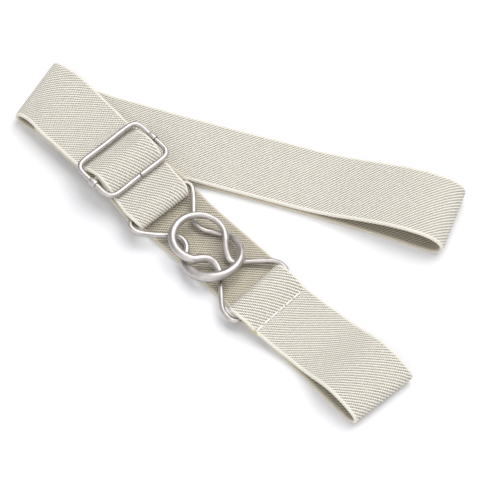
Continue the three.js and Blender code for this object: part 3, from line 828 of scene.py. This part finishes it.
def webbing_material():
    """Cream twill: diagonal ribs stepped yarn by yarn, grooves darkened with painted shade, and plain
    corded selvages.
    """
    n = Nodes("cream_twill_webbing")
    weave = n.add("ShaderNodeUVMap", uv_map="weave").outputs[0]
    inner = n.add("ShaderNodeAttribute", attribute_name="inner").outputs["Fac"]
    tension = n.add("ShaderNodeAttribute", attribute_name="tension").outputs["Fac"]
    parts = n.add("ShaderNodeSeparateXYZ", {0: weave})
    across = parts.outputs[0]
    wander = n.product(n.math("SUBTRACT", n.noise(weave, 0.5, 2.0), 0.5), 0.5)
    along = n.math("ADD", parts.outputs[1], wander)

    # The ribs go one yarn along for each yarn across
    yarns = n.math("DIVIDE", across, YARN)
    stepped = n.product(n.math("ADD", n.math("FLOOR", yarns), 0.5), YARN)
    place = n.math("ADD", n.product(across, 0.1), n.product(stepped, 0.9))
    phase = n.math("DIVIDE", n.math("SUBTRACT", place, along), YARN * YARNS_PER_RIB)
    from_groove = n.math("PINGPONG", phase, 0.5)
    from_yarn_edge = n.math("PINGPONG", yarns, 0.5)
    from_pick_edge = n.math("PINGPONG", n.math("DIVIDE", along, YARN), 0.5)
    ridge = n.span(from_groove, 0.1, 0.43)
    cord_start = WEBBING_WIDTH / 2 - SELVAGE_BAND
    selvage = n.span(n.math("ABSOLUTE", across), cord_start, cord_start + SELVAGE_BLEND)

    # Grooves are dashes of painted shade, a little deeper where the webbing is stretched: they fade at
    # random, between the yarns and at the selvages
    groove_shade_strength = n.math("ADD", 0.95, n.product(tension, 0.05))
    groove_shade = n.product(n.rest(ridge), groove_shade_strength)
    fine = n.noise(n.point(n.product(yarns, 1.7), n.product(along, 1.6)), 1.0, 3.0)
    uneven = n.span(fine, 0.3, 0.7, 0.5, 1.2)
    broken = n.product(uneven, n.span(from_yarn_edge, 0.05, 0.4, 0.3, 1.25))
    shade = n.product(n.product(groove_shade, broken), n.rest(n.product(selvage, 0.8)))
    # The inner face's colours are partly its own tone and partly painted shade
    yarn_colour = n.mix(inner, OUTER_YARN, INNER_YARN_AND_SHADE)
    groove_shade_colour = n.mix(inner, OUTER_GROOVE_SHADE, INNER_GROOVE_SHADE)
    patches = n.span(n.noise(weave, 0.09, 3.0), 0.3, 0.7, 0.0, 0.1)
    cloth = n.mix(patches, n.mix(shade, yarn_colour, groove_shade_colour), CLOTH_PATCHES)

    rounding = n.math("ADD", from_yarn_edge, from_pick_edge)
    ribs = n.math("ADD", ridge, n.product(rounding, 0.175))
    cords = n.product(rounding, 0.6)
    weave_height = n.math("ADD", n.product(ribs, n.rest(selvage)), n.product(cords, selvage))
    fluff = n.product(n.noise(weave, 6.0, 3.0), 0.3)
    n.surface(
        Base_Color=cloth,
        Normal=n.bump(n.math("ADD", weave_height, fluff), 0.16 * MM, 0.9),
        Roughness=n.span(fine, 0.2, 0.8, 0.8, 0.95),
        Specular_IOR_Level=0.25,
        Sheen_Weight=0.12,
        Sheen_Roughness=0.5,
    )
    return n.material


def metal_material():
    """Satin nickel: soft gloss with a fine grain, slightly cloudy plating, and painted shade darkening
    its flanks and undersides.
    """
    n = Nodes("satin_nickel_wire")
    coordinates = n.add("ShaderNodeTexCoord")
    cloudy = n.noise(coordinates.outputs["Object"], 260.0, 3.0)
    grain = n.noise(coordinates.outputs["Object"], 4200.0, 2.0)
    plating = n.mix(n.span(cloudy, 0.35, 0.65), NICKEL_DARK, NICKEL_LIGHT)
    facing_up = n.add("ShaderNodeSeparateXYZ", {0: coordinates.outputs["Normal"]}).outputs[2]
    # Painted shade: flanks and undersides darkened by how far their normal turns from up
    painted_underside_shade = n.span(facing_up, -0.6, 0.35, 0.8, 0.0)
    cloudy_grain = n.math("ADD", n.product(cloudy, 0.5), n.product(grain, 0.5))
    n.surface(
        Base_Color=n.mix(painted_underside_shade, plating, NICKEL_PAINTED_SHADE),
        Metallic=1.0,
        Roughness=n.span(cloudy_grain, 0.35, 0.65, 0.4, 0.52),
        Normal=n.bump(grain, 0.02 * MM, 0.5),
    )
    return n.material


def thread_material(name, tones):
    """Twisted sewing thread in two tones."""
    n = Nodes(name)
    place = n.add("ShaderNodeTexCoord").outputs["Object"]
    fibres = n.noise(place, 2600.0, 3.0)
    n.surface(
        Base_Color=n.mix(n.span(fibres, 0.3, 0.7), *tones),
        Normal=n.bump(fibres, 0.05 * MM, 0.8),
        Roughness=0.7,
        Sheen_Weight=0.2,
    )
    return n.material


def floor_material():
    """Plain pale surface."""
    n = Nodes("pale_floor")
    place = n.add("ShaderNodeTexCoord").outputs["Object"]
    tone = n.span(n.noise(place, 3.0, 2.0), 0.3, 0.7)
    n.surface(Base_Color=n.mix(tone, *FLOOR_TONES), Roughness=0.8, Specular_IOR_Level=0.2)
    return n.material


def build_stage():
    """Floor, world light, two area lights and the camera at the photograph's angle."""
    bpy.ops.mesh.primitive_plane_add(size=FLOOR_SIZE, location=(0, 0, 0))
    floor = bpy.context.object
    floor.name = "floor"
    floor.data.materials.append(floor_material())
    build_world()
    area_light("key", **KEY_LIGHT)
    area_light("fill", **FILL_LIGHT)
    bpy.context.scene.view_settings.view_transform = "Standard"
    build_camera()


def build_world():
    """White light from above that fades to dark at the far horizon, so that the wires get dark edges."""
    world = bpy.data.worlds.new("studio")
    bpy.context.scene.world = world
    world.use_nodes = True
    tree = world.node_tree
    background = tree.nodes["Background"]
    background.inputs["Color"].default_value = WORLD_COLOUR
    coordinates = tree.nodes.new("ShaderNodeTexCoord")
    bright = tree.nodes.new("ShaderNodeVectorMath")
    bright.operation = "DOT_PRODUCT"
    bright.inputs[1].default_value = WORLD_BRIGHT_WAY
    rise = tree.nodes.new("ShaderNodeMapRange")
    rise.interpolation_type = "SMOOTHSTEP"
    for name, value in WORLD_RISE.items():
        rise.inputs[name].default_value = value
    tree.links.new(coordinates.outputs["Generated"], bright.inputs[0])
    tree.links.new(bright.outputs["Value"], rise.inputs["Value"])
    tree.links.new(rise.outputs[0], background.inputs["Strength"])


def place_and_aim(name, data, location, target):
    """A light or camera at a location, aimed at the target."""
    holder = bpy.data.objects.new(name, data)
    holder.location = location
    holder.rotation_mode = "QUATERNION"
    holder.rotation_quaternion = (target - Vector(location)).to_track_quat("-Z", "Y")
    bpy.context.scene.collection.objects.link(holder)
    return holder


def area_light(name, location, size, power):
    """A square soft light aimed at the belt."""
    light = bpy.data.lights.new(name, "AREA")
    light.size = size
    light.energy = power
    place_and_aim(name, light, location, Vector((0, 0, 0)))


def build_camera():
    """The camera, with the strap frame's origin in the middle of its picture."""
    camera = bpy.data.cameras.new("camera")
    camera.lens = CAMERA_LENS
    camera.sensor_width = SENSOR
    camera.clip_start = CAMERA_NEAREST
    level = math.cos(CAMERA_ELEVATION)
    x, y = math.sin(CAMERA_AZIMUTH) * level, -math.cos(CAMERA_AZIMUTH) * level
    back = Vector((x, y, math.sin(CAMERA_ELEVATION)))
    target = Vector(ORIGIN * MM)
    holder = place_and_aim("camera", camera, target + back * CAMERA_DISTANCE, target)
    bpy.context.scene.camera = holder


def build_belt():
    """Every piece of the belt, riding on the part's one body."""
    cream = webbing_material()
    nickel = metal_material()
    webbing = Webbing()
    band = build_webbing(webbing, cream)
    seam = build_seam(webbing, thread_material("white_thread", WHITE_THREAD))
    knot = build_knot(webbing, thread_material("waxed_thread", WAXED_THREAD))
    # The holes' plugs are painted shade, drawn with the thread material in two dark tones
    holes = build_needle_holes(webbing, thread_material("hole_shade", HOLE_SHADE))
    left_rows = LEFT_ARM_IN + ring_rows(LEFT_RING) + LEFT_ARM_OUT
    right_rows = RIGHT_ARM_IN + ring_rows(RIGHT_RING) + RIGHT_ARM_OUT
    upwards, lengthways = (0, 0, 1), (1, 0, 0)
    bar_look = {"step": CROSSBAR_STEP, "flat": crossbar_section}
    wires = {
        "buckle_left_half": wire("left_half_wire", left_rows, upwards, nickel),
        "buckle_right_half": wire("right_half_wire", right_rows, upwards, nickel),
        "slider_frame": wire("slider_frame_wire", slider_frame_rows(), upwards, nickel),
        "slider_bar": wire("slider_bar_wire", crossbar_rows(), lengthways, nickel, **bar_look),
    }
    for node, piece in wires.items():
        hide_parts(node)
        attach(piece, "root")
    for piece in (band, seam, knot, holes):
        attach(piece, "root")
    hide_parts("webbing")


build_stage()
build_belt()
